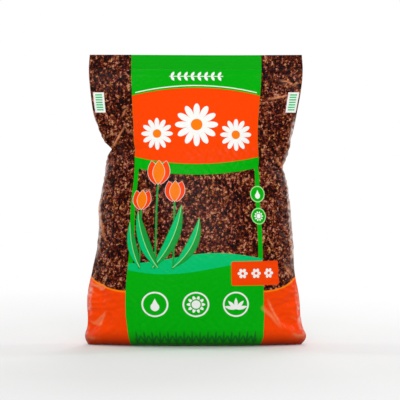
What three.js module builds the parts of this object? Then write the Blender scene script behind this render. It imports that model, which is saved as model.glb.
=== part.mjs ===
// A ten litre bag of peat, standing on its base.
// The bag is one length of plastic tube, welded flat across the bottom and across the top. The bottom
// weld is tucked under the peat, so the bag stands on a flat base with a corner of film sticking out at
// each end. Above the peat the two walls lie flat together, and the weld closes them along the top edge.
// Millimetres, +Z up, +X to the right as the bag is seen from the front. The front faces -Y.
import * as THREE from "three";

// Driving dimensions
const BAG_HEIGHT = 480; // floor to top edge
const FILM_WIDTH = 366; // the empty tube, laid flat
const BELLY_DEPTH = 126; // front to back where the peat stands fullest
const BASE_ROUND = 19; // radius that the walls turn under with
const WELD_BAND = 24; // height of the welded band along the top edge
const WALL_PAIR = 2; // the two walls where they lie flat together
const CORNER_PUFF = 9; // how far each bottom corner swells, front and back
const CORNER_SIZE = 15; // reach of that swelling

// The waist is where the walls stop being round with peat and start to lie flat.
// The edge of the film tucks in there.
const LEFT_TUCK = { height: 324, depth: 13, reach: 15 };
const RIGHT_TUCK = { height: 293, depth: 9, reach: 17 };

// Puckers run in from the edges, where the film is longer than the side it has to follow.
const PUCKER = { pitch: 33, reach: 30, depth: 3.2, width: 6, stagger: 0.25, tilt: 0.3, tiltStep: 5 };

// Gathers hang from the weld into the flat film, and close up a little towards the middle as they fall.
const GATHER = { pitch: 52, reach: 46, depth: 2.6, width: 7, start: 0.7, closing: 0.97 };

// Neighbours in a row of puckers or gathers differ in size, from 0.55 to 1 of the full one.
const VARIETY = { middle: 0.775, spread: 0.225, step: 2.4 };

// A crease keeps its full depth for the first part of its run. Its flanks fall off with this sharpness.
const CREASE_FULL_RUN = 0.15;
const CREASE_SHARPNESS = 1.4;

// Creases need some swell to form in: they reach full depth where the wall stands out well past this.
const CREASE_SWELL = 6;
// Valleys and the round at the base take up no more than this share of what the wall stands out.
const LARGEST_SHARE = 0.8;

// The flat film above the peat leans back from the middle of the base, with a sideways wave.
const FLAP = { lean: 9, wave: 5, turns: 2.6, start: 0.7 };
// The film's edges wander forward and back.
const SWAY = { reach: 5, turns: 2.2, start: 0.4 };

// Mesh density
const ROWS_IN_ROUND = 6;
const ROWS_ABOVE = 62;
const COLUMNS = 30;
const EDGE_CROWDING = 0.45; // share of the columns' spacing that closes up towards the edges

// A smooth curve through [share of the bag's height, value] pairs.
function curve(pairs) {
  const interpolant = new THREE.CubicInterpolant(
    pairs.map(([share]) => share),
    pairs.map(([, value]) => value),
    1,
    new Float64Array(1),
  );
  return (share) => interpolant.evaluate(THREE.MathUtils.clamp(share, 0, 1))[0];
}

// How far each edge of the filled bag stands in from the edge of the flat tube, in millimetres.
const leftInset = curve([
  [0, 5], [0.025, 0], [0.07, 4], [0.17, 4], [0.25, 11], [0.36, 21], [0.43, 22.5], [0.485, 24],
  [0.53, 27.5], [0.58, 31.5], [0.64, 32], [0.72, 24], [0.79, 14], [0.88, 8], [0.95, 5.5], [1, 7],
]);
const rightInset = curve([
  [0, 10], [0.024, 1.5], [0.07, 8], [0.17, 13], [0.25, 20], [0.36, 23], [0.5, 28],
  [0.6, 31], [0.68, 27], [0.79, 17], [0.88, 9], [0.95, 6], [1, 7.5],
]);

// How deep the bag is, as a share of the belly's depth, in front of the welds and behind them.
const frontFullness = curve([
  [0, 0.62], [0.1, 0.78], [0.2, 0.91], [0.3, 0.99], [0.42, 1.01], [0.53, 0.95],
  [0.63, 0.82], [0.72, 0.61], [0.8, 0.36], [0.87, 0.15], [0.92, 0.04], [0.95, 0], [1, 0],
]);
const backFullness = curve([
  [0, 0.6], [0.1, 0.74], [0.2, 0.87], [0.32, 0.97], [0.45, 1], [0.56, 0.94],
  [0.65, 0.79], [0.73, 0.56], [0.81, 0.31], [0.88, 0.12], [0.92, 0.04], [0.95, 0], [1, 0],
]);

// The level section is (1 - |across|^squareness)^thinness. Square sections keep their depth almost to
// the edges, and thin ones taper towards them.
const squareness = curve([
  [0, 3.8], [0.08, 3.2], [0.2, 2.6], [0.35, 2.3], [0.6, 2.1], [0.8, 2], [1, 2],
]);
const edgeThinness = curve([
  [0, 1], [0.08, 0.95], [0.2, 0.84], [0.35, 0.72], [0.5, 0.66], [0.65, 0.68], [0.78, 0.85],
  [0.9, 1], [1, 1],
]);

// How far the film above the peat has left the upright: none at the waist, all of it at the top edge.
const flapShare = curve([[0, 0], [0.6, 0], [0.75, 0.22], [0.88, 0.6], [1, 1]]);

// The edges' sway changes side between the base and the waist.
const edgeSway = curve([[0, 0], [0.12, 0.3], [0.3, -0.8], [0.48, 0.5], [0.62, 1], [0.75, 0.2], [1, 0]]);

// Creases run in the wall from one place to another. A place is the share of the half width, from -1 at
// the left edge to 1 at the right edge, and the share of the height. A crease is deepest at its start
// and fades to its end. Positive depths are valleys and negative ones are ridges, in millimetres.
const waistLeft = LEFT_TUCK.height / BAG_HEIGHT;
const waistRight = RIGHT_TUCK.height / BAG_HEIGHT;
const FRONT_CREASES = [
  { from: [-1, waistLeft], to: [-0.66, waistLeft + 0.1], depth: 13, width: 8 },
  { from: [-0.98, waistLeft - 0.03], to: [-0.62, waistLeft], depth: 5, width: 12 },
  { from: [-0.95, waistLeft + 0.05], to: [-0.35, waistLeft + 0.16], depth: -4, width: 13 },
  { from: [1, waistRight], to: [0.7, waistRight + 0.09], depth: 11, width: 9 },
  { from: [0.98, waistRight - 0.02], to: [0.64, waistRight + 0.05], depth: 4, width: 12 },
  { from: [-1, 0.45], to: [-0.78, 0.32], depth: 6, width: 7 },
  { from: [0.97, 0.47], to: [0.7, 0.42], depth: 4, width: 9 },
  { from: [-0.97, 0.05], to: [-0.6, 0.17], depth: 5, width: 9 },
  { from: [-0.95, 0.19], to: [-0.62, 0.12], depth: 4, width: 8 },
  { from: [0.95, 0.05], to: [0.52, 0.21], depth: 6, width: 8 },
  { from: [0.99, 0.17], to: [0.66, 0.11], depth: 4, width: 8 },
];
const BACK_CREASES = [
  { from: [-1, waistLeft], to: [-0.55, waistLeft + 0.08], depth: 12, width: 9 },
  { from: [-0.98, waistLeft - 0.04], to: [0.05, waistLeft - 0.02], depth: 6, width: 15 },
  { from: [1, waistRight], to: [0.62, waistRight + 0.12], depth: 11, width: 9 },
  { from: [0.98, waistRight + 0.02], to: [0.15, waistRight + 0.05], depth: 6, width: 14 },
  { from: [-0.96, 0.05], to: [-0.5, 0.22], depth: 6, width: 9 },
  { from: [0.96, 0.06], to: [0.56, 0.18], depth: 5, width: 9 },
  { from: [-1, 0.36], to: [-0.74, 0.29], depth: 5, width: 8 },
  { from: [1, 0.4], to: [0.72, 0.31], depth: 5, width: 8 },
];

// Size of one pucker or gather beside its neighbours, with no two alike in a row.
function unevenness(index) {
  return VARIETY.middle + VARIETY.spread * Math.sin(VARIETY.step * index + 1);
}

// The rows of puckers up the left edge and the right edge, from the base to the left tuck.
function puckers() {
  const rise = PUCKER.pitch / BAG_HEIGHT;
  const reach = PUCKER.reach / (FILM_WIDTH / 2);
  const count = Math.floor((LEFT_TUCK.height - PUCKER.pitch) / PUCKER.pitch);
  const made = [];
  for (let index = 1; index <= count; index += 1) {
    const tilt = PUCKER.tilt * rise * Math.sin(PUCKER.tiltStep * index);
    for (const edge of [-1, 1]) {
      const share = unevenness(index * 2 + edge);
      const height = (index + PUCKER.stagger * edge) * rise;
      const to = [edge * (1 - reach * share), height + tilt];
      made.push({ from: [edge, height], to, depth: PUCKER.depth * share, width: PUCKER.width });
    }
  }
  return made;
}

// The row of gathers along the lower edge of the weld.
function gathers() {
  const foot = 1 - WELD_BAND / BAG_HEIGHT;
  const pitch = GATHER.pitch / (FILM_WIDTH / 2);
  const made = [];
  for (let index = 0; (index + 1) * pitch < 2; index += 1) {
    const share = unevenness(index);
    const across = -1 + (index + GATHER.start) * pitch;
    const to = [across * GATHER.closing, foot - (GATHER.reach * share) / BAG_HEIGHT];
    made.push({ from: [across, foot], to, depth: GATHER.depth * share, width: GATHER.width });
  }
  return made;
}

// Depth of one crease at a place in the wall, in millimetres into the bag.
function creaseDepth({ from, to, depth, width }, across, share, halfWidth) {
  const place = new THREE.Vector2(across * halfWidth, share * BAG_HEIGHT);
  const start = new THREE.Vector2(from[0] * halfWidth, from[1] * BAG_HEIGHT);
  const run = new THREE.Vector2(to[0] * halfWidth, to[1] * BAG_HEIGHT).sub(start);
  const along = THREE.MathUtils.clamp(place.clone().sub(start).dot(run) / run.lengthSq(), 0, 1);
  const distance = place.distanceTo(start.addScaledVector(run, along));
  const fade = 1 - THREE.MathUtils.smoothstep(along, CREASE_FULL_RUN, 1);
  return depth * fade * Math.exp(-((distance / width) ** CREASE_SHARPNESS));
}

const SHARED_CREASES = [...puckers(), ...gathers()];
const WALLS = {
  front: { toward: -1, fullness: frontFullness, creases: [...FRONT_CREASES, ...SHARED_CREASES] },
  back: { toward: 1, fullness: backFullness, creases: [...BACK_CREASES, ...SHARED_CREASES] },
};

// How far an edge is drawn in by its tuck.
function tuckInset(tuck, z) {
  return tuck.depth * Math.exp(-Math.abs(z - tuck.height) / tuck.reach);
}

// Left and right edges of the bag at a height.
function edges(z) {
  const share = z / BAG_HEIGHT;
  return {
    left: -FILM_WIDTH / 2 + leftInset(share) + tuckInset(LEFT_TUCK, z),
    right: FILM_WIDTH / 2 - rightInset(share) - tuckInset(RIGHT_TUCK, z),
  };
}

// The walls turn under with a round, which is smaller where the bag is thin.
function turnUnder(depth, z) {
  const radius = Math.min(BASE_ROUND, LARGEST_SHARE * depth);
  if (z >= radius) {
    return depth;
  }
  return depth - radius + Math.sqrt(radius ** 2 - (radius - z) ** 2);
}

// How far a bottom corner swells at a place.
function cornerPuff(fromEdge, z) {
  const inward = (fromEdge - CORNER_SIZE) / CORNER_SIZE;
  const upward = (z - CORNER_SIZE) / CORNER_SIZE;
  return CORNER_PUFF * Math.exp(-(inward ** 2) - upward ** 2);
}

// How far the creases push a wall in. A valley is always shallower than the wall stands out, so that the
// walls never pass through each other.
function creaseValley(wall, across, share, halfWidth, swell) {
  const creased = wall.creases.reduce(
    (sum, crease) => sum + creaseDepth(crease, across, share, halfWidth),
    0,
  );
  return Math.min(creased * (1 - Math.exp(-swell / CREASE_SWELL)), LARGEST_SHARE * swell);
}

// A point of one wall: across runs from -1 at the left edge to 1 at the right edge.
function wallPoint(wall, across, z) {
  const share = z / BAG_HEIGHT;
  const { left, right } = edges(z);
  const halfWidth = (right - left) / 2;
  const section = (1 - Math.abs(across) ** squareness(share)) ** edgeThinness(share);
  const full = (BELLY_DEPTH / 2) * Math.max(wall.fullness(share), 0) * section;
  const puff = cornerPuff((1 - Math.abs(across)) * halfWidth, z) * Math.sqrt(section);
  const swell = full + puff;
  const valley = creaseValley(wall, across, share, halfWidth, swell);
  const out = turnUnder(swell - valley, z) + WALL_PAIR / 2;
  const lean = flapShare(share) * (FLAP.lean + FLAP.wave * Math.sin(FLAP.turns * across + FLAP.start));
  const sway = SWAY.reach * edgeSway(share) * Math.sin(SWAY.turns * across + SWAY.start);
  return new THREE.Vector3((left + right) / 2 + across * halfWidth, wall.toward * out + lean + sway, z);
}

// Heights of the rows: close together in the round at the base, and even above it.
function rowHeights() {
  const heights = [];
  for (let row = 0; row < ROWS_IN_ROUND; row += 1) {
    heights.push(BASE_ROUND * (1 - Math.cos((Math.PI / 2) * (row / ROWS_IN_ROUND))));
  }
  for (let row = 0; row <= ROWS_ABOVE; row += 1) {
    heights.push(THREE.MathUtils.lerp(BASE_ROUND, BAG_HEIGHT, row / ROWS_ABOVE));
  }
  return heights;
}

// Places across a wall, closer together towards the edges.
function columnPlaces() {
  return Array.from({ length: COLUMNS + 1 }, (_, column) => {
    const even = -1 + (2 * column) / COLUMNS;
    return THREE.MathUtils.lerp(even, Math.sin((even * Math.PI) / 2), EDGE_CROWDING);
  });
}

// One level ring of the bag: along the front wall from left to right, then back along the back wall.
function ringPoints(z, places) {
  const front = places.map((across) => wallPoint(WALLS.front, across, z));
  const back = places.map((across) => wallPoint(WALLS.back, across, z));
  return [...front, ...back.reverse()];
}

// The closed surface: rings joined into walls, with the base and the top edge closed between the walls.
function bagGeometry() {
  const places = columnPlaces();
  const rings = rowHeights().map((z) => ringPoints(z, places));
  const around = rings[0].length;
  const faces = [];
  for (let row = 0; row + 1 < rings.length; row += 1) {
    for (let step = 0; step < around; step += 1) {
      const here = row * around + step;
      const next = row * around + ((step + 1) % around);
      faces.push(here, next, next + around);
      faces.push(here, next + around, here + around);
    }
  }
  const top = (rings.length - 1) * around;
  for (let column = 0; column < COLUMNS; column += 1) {
    const opposite = around - 1 - column;
    faces.push(column + 1, column, opposite);
    faces.push(column + 1, opposite, opposite - 1);
    faces.push(top + column, top + column + 1, top + opposite);
    faces.push(top + column + 1, top + opposite - 1, top + opposite);
  }
  const geometry = new THREE.BufferGeometry();
  geometry.setFromPoints(rings.flat());
  geometry.setIndex(faces);
  return geometry;
}

// The origin is on the floor, under the middle of the bag's box.
function centreOnFloor(geometry) {
  geometry.computeBoundingBox();
  const middle = geometry.boundingBox.getCenter(new THREE.Vector3());
  geometry.translate(-middle.x, -middle.y, -geometry.boundingBox.min.z);
  geometry.computeVertexNormals();
  return geometry;
}

const printedFilm = new THREE.MeshStandardMaterial({
  name: "printed_film",
  color: new THREE.Color().setRGB(0.33, 0.2, 0.15, THREE.SRGBColorSpace),
  roughness: 0.38,
  metalness: 0,
});

const peatBag = new THREE.Mesh(centreOnFloor(bagGeometry()), printedFilm);
peatBag.name = "peat_bag";

const bagOfPeat = new THREE.Group();
bagOfPeat.name = "bag_of_peat";
bagOfPeat.add(peatBag);

export default bagOfPeat;
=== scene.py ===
"""A sealed ten litre bag of peat in printed plastic film, standing on a pale floor."""

from __future__ import annotations

import logging
import math
from dataclasses import dataclass, field
from enum import Enum

import bpy
import numpy as np
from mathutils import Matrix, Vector


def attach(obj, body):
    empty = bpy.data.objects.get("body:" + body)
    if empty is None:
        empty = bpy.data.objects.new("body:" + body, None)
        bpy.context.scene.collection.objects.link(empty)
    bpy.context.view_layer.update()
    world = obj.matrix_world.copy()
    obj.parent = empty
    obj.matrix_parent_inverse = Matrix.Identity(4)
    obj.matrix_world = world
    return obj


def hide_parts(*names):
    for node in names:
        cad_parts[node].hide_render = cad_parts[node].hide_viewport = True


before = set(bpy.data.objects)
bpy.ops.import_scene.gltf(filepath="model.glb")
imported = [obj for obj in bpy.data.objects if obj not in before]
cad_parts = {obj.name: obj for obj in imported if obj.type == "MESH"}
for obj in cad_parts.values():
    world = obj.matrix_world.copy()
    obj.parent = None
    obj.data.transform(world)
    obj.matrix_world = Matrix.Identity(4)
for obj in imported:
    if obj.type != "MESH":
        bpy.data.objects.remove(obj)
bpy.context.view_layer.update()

MM = 0.001
TINY = 1e-12

Array = np.ndarray
Span = tuple[float, float]
Triple = tuple[float, float, float]
Colour = tuple[float, float, float, float]
Shades = tuple[tuple[float, tuple[int, int, int]], ...]
Tree = bpy.types.NodeTree
Node = bpy.types.Node
Socket = bpy.types.NodeSocket
Inputs = dict[int | str, object]

log = logging.getLogger("bag_of_peat")


class Wall(Enum):
    """The two walls of the film tube."""

    FRONT = -1
    BACK = 1


def smoothstep(low: float, high: float, value: Array) -> Array:
    """Rises smoothly from 0 at low to 1 at high."""
    share = np.clip((value - low) / (high - low), 0.0, 1.0)
    return share * share * (3.0 - 2.0 * share)


def hump(value: Array, middle: float, reach: float) -> Array:
    """A smooth hump, 1 at its middle."""
    return np.exp(-(((value - middle) / reach) ** 2))


def travelled(path: Array) -> Array:
    """Distance of each corner of a path from its start, along the path."""
    steps = np.linalg.norm(np.diff(path, axis=0), axis=1)
    return np.concatenate(([0.0], np.cumsum(steps)))


def outward(net: Array) -> Array:
    """Finds the directions that point out of the bag.

    Args:
        net: The points of the film, row by row from the foot, each row once round the bag.

    Returns:
        The unit normal at each point.
    """
    around = np.roll(net, -1, axis=1) - np.roll(net, 1, axis=1)
    normal = np.cross(around, np.gradient(net, axis=0))
    return normal / np.maximum(np.linalg.norm(normal, axis=2, keepdims=True), TINY)


def between(net: Array, place: Array) -> Array:
    """Reads a net between its rows with a smooth curve.

    Args:
        net: The net, with its rows along the first axis.
        place: The wanted row numbers, with fractions.

    Returns:
        The net at those rows.
    """
    last = net.shape[0] - 1
    row = np.clip(np.floor(place).astype(int), 0, last - 1)
    share = (place - row).reshape((-1,) + (1,) * (net.ndim - 1))
    first = net[np.clip(row - 1, 0, last)]
    low, high = net[row], net[row + 1]
    fourth = net[np.clip(row + 2, 0, last)]
    square, cube = share**2, share**3
    return 0.5 * (
        2 * low
        + (high - first) * share
        + (2 * first - 5 * low + 4 * high - fourth) * square
        + (3 * low - first - 3 * high + fourth) * cube
    )


def placed(name: str, data: bpy.types.ID) -> bpy.types.Object:
    """Puts something in the scene.

    Args:
        name: The object's name.
        data: Its mesh, lamp or camera.

    Returns:
        The object.
    """
    thing = bpy.data.objects.new(name, data)
    bpy.context.scene.collection.objects.link(thing)
    return thing


@dataclass
class PackedSolid:
    """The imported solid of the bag, which can be cut level at any height."""

    node: str = "peat_bag"
    least_normal: float = 1e-18
    least_facing: float = 1e-4
    least_step: float = 1e-6
    corners: Array = field(init=False)
    facing: Array = field(init=False)

    def __post_init__(self) -> None:
        """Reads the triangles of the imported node, and how far each one faces the back."""
        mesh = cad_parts[self.node].data
        mesh.calc_loop_triangles()
        places = np.empty(len(mesh.vertices) * 3)
        mesh.vertices.foreach_get("co", places)
        triangles = np.empty(len(mesh.loop_triangles) * 3, dtype=np.int32)
        mesh.loop_triangles.foreach_get("vertices", triangles)
        self.corners = places.reshape(-1, 3)[triangles.reshape(-1, 3)]
        edges = self.corners[:, 1:] - self.corners[:, :1]
        normal = np.cross(edges[:, 0], edges[:, 1])
        self.facing = normal[:, 1] / np.maximum(np.linalg.norm(normal, axis=1), self.least_normal)

    def cut(self, height: float, wall: Wall) -> Array:
        """Cuts one wall at a height.

        Args:
            height: The height above the floor, in metres.
            wall: The wall to cut.

        Returns:
            The points of the cut from left to right, as rows of x and y.
        """
        faces = self.corners[self.facing * wall.value > self.least_facing]
        points = []
        for first, second in ((0, 1), (1, 2), (2, 0)):
            start, end = faces[:, first], faces[:, second]
            crosses = (start[:, 2] < height) != (end[:, 2] < height)
            start, end = start[crosses], end[crosses]
            share = (height - start[:, 2]) / (end[:, 2] - start[:, 2])
            points.append((start + (end - start) * share[:, None])[:, :2])
        found = np.concatenate(points)
        found = found[np.argsort(found[:, 0], kind="stable")]
        return found[np.concatenate(([True], np.diff(found[:, 0]) > self.least_step))]


@dataclass(frozen=True)
class Pocket:
    """The place where the edge of the film tucks in between the walls."""

    side: int
    height: float
    depth: float
    reach: float

    def inward(self, height: float) -> float:
        """How far the film's edge lies inside the outline at a height."""
        return self.depth * float(hump(np.array(height), self.height, self.reach))


@dataclass(frozen=True)
class FilmGrid:
    """Sizes of the regular net that stands for the film."""

    wall_columns: int = 88
    round_rows: int = 5
    base_round: float = 0.019
    row_step: float = 0.004
    weld_rows: int = 6
    weld_band: float = 0.024
    height: float = 0.480
    film_width: float = 0.366

    @property
    def around(self) -> int:
        """Columns round the whole tube."""
        return 2 * self.wall_columns

    @property
    def weld_foot(self) -> float:
        """Height at which the weld starts."""
        return self.height - self.weld_band

    def levels(self) -> Array:
        """Finds the rows' heights.

        Returns:
            The heights, from the floor to the top edge.
        """
        turn = np.arange(self.round_rows) / self.round_rows
        low = self.base_round * (1.0 - np.cos(turn * math.pi / 2))
        count = round((self.weld_foot - self.base_round) / self.row_step)
        body = np.linspace(self.base_round, self.weld_foot, count, endpoint=False)
        weld = np.linspace(self.weld_foot, self.height, self.weld_rows + 1)
        return np.concatenate((low, body, weld))

    def across(self, columns: int) -> Array:
        """Place of each of so many columns round the tube, in metres from the middle of its wall."""
        column = np.arange(columns)
        return (np.minimum(column, columns - column) / (columns // 2) - 0.5) * self.film_width


@dataclass(frozen=True)
class Slack:
    """How much longer the film is cut than its place, as shares of its length.

    A place is where its rise starts and ends, or the middle and reach of a hump: heights in metres, and the
    edge across the wall, from 0 in the middle to 1 at the film's edge.
    """

    edge: Span = (0.55, 0.98)
    above_peat: Span = (0.33, 0.42)
    waist: Span = (0.312, 0.045)
    foot: Span = (0.03, 0.035)
    gathers: Span = (0.36, 0.44)
    past_gathers: Span = (0.45, 0.458)
    weld: Span = (0.44, 0.458)
    around_all: float = 0.006
    around_waist: float = 0.022
    waist_middle: float = 0.35
    around_edge: float = 0.012
    around_foot: float = 0.010
    around_weld: float = 0.001
    upward_all: float = 0.005
    upward_edge: float = 0.050
    upward_waist: float = 0.016
    upward_gathers: float = 0.012
    upward_weld: float = 0.0005

    def shares(self, grid: FilmGrid) -> tuple[Array, Array]:
        """Finds the slack at each point of the net.

        Args:
            grid: The net's sizes.

        Returns:
            The slack round the bag and the slack up it.
        """
        height = grid.levels()[:, None]
        edge = smoothstep(*self.edge, np.abs(grid.across(grid.around))[None, :] / (grid.film_width / 2))
        filled = 1.0 - smoothstep(*self.above_peat, height)
        waist = hump(height, *self.waist)
        around = self.around_all + self.around_waist * waist * (self.waist_middle + edge)
        around = around + self.around_edge * filled * edge + self.around_foot * hump(height, *self.foot)
        upward = self.upward_all + self.upward_edge * edge * filled + self.upward_waist * waist * edge
        below_weld = 1 - smoothstep(*self.past_gathers, height)
        upward += self.upward_gathers * smoothstep(*self.gathers, height) * below_weld * edge
        calm = 1.0 - smoothstep(*self.weld, height)
        return around * calm + self.around_weld, upward * calm + self.upward_weld


@dataclass
class FilmRelaxation:
    """Lets film that is a little longer than its place wrinkle over the peat.

    The goals are where the film lies on the solid, and the middle is halfway between the walls there.
    """

    goals: Array
    middle: Array
    grid: FilmGrid
    slack: Slack = Slack()
    seed: int = 5
    waves: int = 90
    wave_rounds: tuple[int, int] = (4, 46)
    wave_pitch: float = 0.28
    first_ripple: float = 0.0009
    flat_ripple: float = 0.15
    filled_depth: Span = (0.002, 0.012)
    passes: int = 260
    slant_hold: float = 0.45
    bend_hold: float = 0.10
    inner_limit: float = 0.0035
    inner_share: float = 0.35
    flat_limit: float = 0.0012
    outer_limit: float = 0.0060
    goal_hold: float = 0.020
    weld_hold: float = 0.4
    weld_margin: Span = (0.034, 0.020)
    off_floor: float = 0.0002

    def ripple(self) -> Array:
        """Makes the unevenness that starts the wrinkles.

        Returns:
            A smooth random height for each point, about 1 high.
        """
        chance = np.random.RandomState(self.seed)
        levels = self.grid.levels()
        turn = np.linspace(0.0, 2 * math.pi, self.grid.around, endpoint=False)
        total = np.zeros((len(levels), self.grid.around))
        for _ in range(self.waves):
            rounds = chance.randint(*self.wave_rounds)
            pitch = chance.uniform(-self.wave_pitch, self.wave_pitch) / MM
            start = chance.uniform(0, 2 * math.pi)
            total += np.sin(rounds * turn[None, :] + pitch * levels[:, None] + start)
        return total / math.sqrt(self.waves / 2)

    def pairs(self) -> list[tuple[Array, Array, Array, float]]:
        """Pairs up the points that the film keeps apart.

        Returns:
            Batches in which no point comes twice: the first points, the second points, the lengths of
            film between them, and how firmly these are held.
        """
        rows, columns = self.goals.shape[:2]
        index = np.arange(rows * columns).reshape(rows, columns)
        around, upward = self.slack.shares(self.grid)
        slanted = 0.5 * (around + upward)
        flat = self.goals.reshape(-1, 3)
        batches = []

        def batch(start: Array, end: Array, spare: Array, hold: float) -> None:
            """Adds one batch of pairs."""
            rest = np.linalg.norm(flat[end] - flat[start], axis=-1) * (1.0 + spare)
            batches.append((start.ravel(), end.ravel(), rest.ravel(), hold))

        ahead = np.roll(index, -1, axis=1)
        second = np.roll(index, -2, axis=1)
        for first in (0, 1):
            low, high = np.s_[first:-1:2], np.s_[first + 1 :: 2]
            batch(index[:, first::2], ahead[:, first::2], around[:, first::2], 1.0)
            batch(index[low], index[high], upward[low], 1.0)
            batch(index[low], ahead[high], slanted[low], self.slant_hold)
            batch(ahead[low], index[high], slanted[low], self.slant_hold)
        for first in (0, 2):
            chosen = [c for c in range(columns) if c % 4 in (first, first + 1)]
            batch(index[:, chosen], second[:, chosen], around[:, chosen], self.bend_hold)
            chosen = [r for r in range(rows - 2) if r % 4 in (first, first + 1)]
            batch(index[chosen], index[[r + 2 for r in chosen]], upward[chosen], self.bend_hold)
        return batches

    def run(self) -> Array:
        """Relaxes the film.

        Returns:
            The places of the film's points, row by row.
        """
        out = outward(self.goals)
        thick = np.linalg.norm(self.goals[:, :, :2] - self.middle[:, :, :2], axis=2)
        filled = smoothstep(*self.filled_depth, thick)
        start = self.first_ripple * self.ripple() * (self.flat_ripple + filled)
        places = self.goals + out * start[:, :, None]
        flat = places.reshape(-1, 3)
        batches = self.pairs()
        inner = np.minimum(self.inner_limit, self.inner_share * thick)
        outer = self.flat_limit + (self.outer_limit - self.flat_limit) * filled
        margin = (self.grid.height - below for below in self.weld_margin)
        hold = self.goal_hold + self.weld_hold * smoothstep(*margin, self.grid.levels())[:, None]
        for _ in range(self.passes):
            for first, second, rest, stiffness in batches:
                apart = flat[second] - flat[first]
                length = np.sqrt(np.einsum("ij,ij->i", apart, apart)) + TINY
                apart *= (0.5 * stiffness * (length - rest) / length)[:, None]
                flat[first] += apart
                flat[second] -= apart
            away = places - self.goals
            rise = np.einsum("ijk,ijk->ij", away, out)
            along = away - out * rise[:, :, None]
            rise = np.clip(rise * (1.0 - hold), -inner, outer)
            places[:] = self.goals + along * (1.0 - 0.5 * hold)[:, :, None] + out * rise[:, :, None]
            np.maximum(places[:, :, 2], self.off_floor, out=places[:, :, 2])
        return places


@dataclass(frozen=True)
class FoldStyle:
    """What the folds share: lengths in millimetres, and places along the run from 0 to 1.

    The groove beside a crest is a share of its height, and lies so many widths away.
    """

    waver: float = 0.4
    waver_rate: float = 11
    groove: float = 0.45
    groove_place: float = 2.2
    starts: Span = (-0.06, 0.2)
    ends: Span = (0.5, 1.06)
    crest: float = 1.3
    facet_edge: float = 0.8
    facet_starts: Span = (-0.05, 0.05)
    facet_ends: Span = (0.85, 1.0)
    # The facet's paleness is a painted highlight.
    facet_highlight: float = 0.55


@dataclass(frozen=True)
class Fold:
    """A sharp fold in one wall.

    The ends are x and height in millimetres, as the wall is seen from the front, and so are the other
    lengths. The fold bows to the left of its run. Along its crest the print is painted pale, as whitened
    ink that is partly a painted highlight, and less so over a facet that fans out from its start, to the
    left of its run or to the right where fan is negative; the facet's paleness is a painted highlight.
    """

    start: Span
    end: Span
    rise: float
    width: float
    pale: float
    bow: float = 0
    fan: float = 0
    wall: Wall = Wall.FRONT
    style: FoldStyle = FoldStyle()

    def shape(self, net: Array) -> tuple[Array, Array]:
        """Shapes the fold.

        Args:
            net: The points of the film.

        Returns:
            The fold's height at each point, in metres, and how pale the print is there, from 0 to 1.
        """
        style = self.style
        first, last = np.array(self.start), np.array(self.end)
        length = float(np.linalg.norm(last - first))
        run = (last - first) / length
        away_x, away_z = net[:, :, 0] / MM - first[0], net[:, :, 2] / MM - first[1]
        along = (away_x * run[0] + away_z * run[1]) / length
        across = away_z * run[0] - away_x * run[1]
        across -= self.bow * 4.0 * along * (1.0 - along)
        across += style.waver * np.sin(style.waver_rate * along + first[0])
        taper = smoothstep(*style.starts, along) * (1.0 - smoothstep(*style.ends, along))
        place = across / self.width
        ridge = np.exp(-np.abs(place)) - style.groove * np.exp(-np.abs(place + style.groove_place))
        # The crest is painted pale: whitened ink, partly a painted highlight.
        pale = self.pale * hump(across, 0.0, style.crest) * taper
        if self.fan:
            edge = style.facet_edge
            reach = abs(self.fan) * np.clip(1.0 - along, 0.0, 1.0)
            inside = across * math.copysign(1.0, self.fan)
            facet = smoothstep(-edge, edge, inside) * (1.0 - smoothstep(-edge, edge, inside - reach))
            facet *= smoothstep(*style.facet_starts, along) * (1.0 - smoothstep(*style.facet_ends, along))
            # The facet gets a weaker painted highlight.
            pale = np.maximum(pale, style.facet_highlight * self.pale * facet)
        return self.rise * MM * ridge * taper, pale


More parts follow.
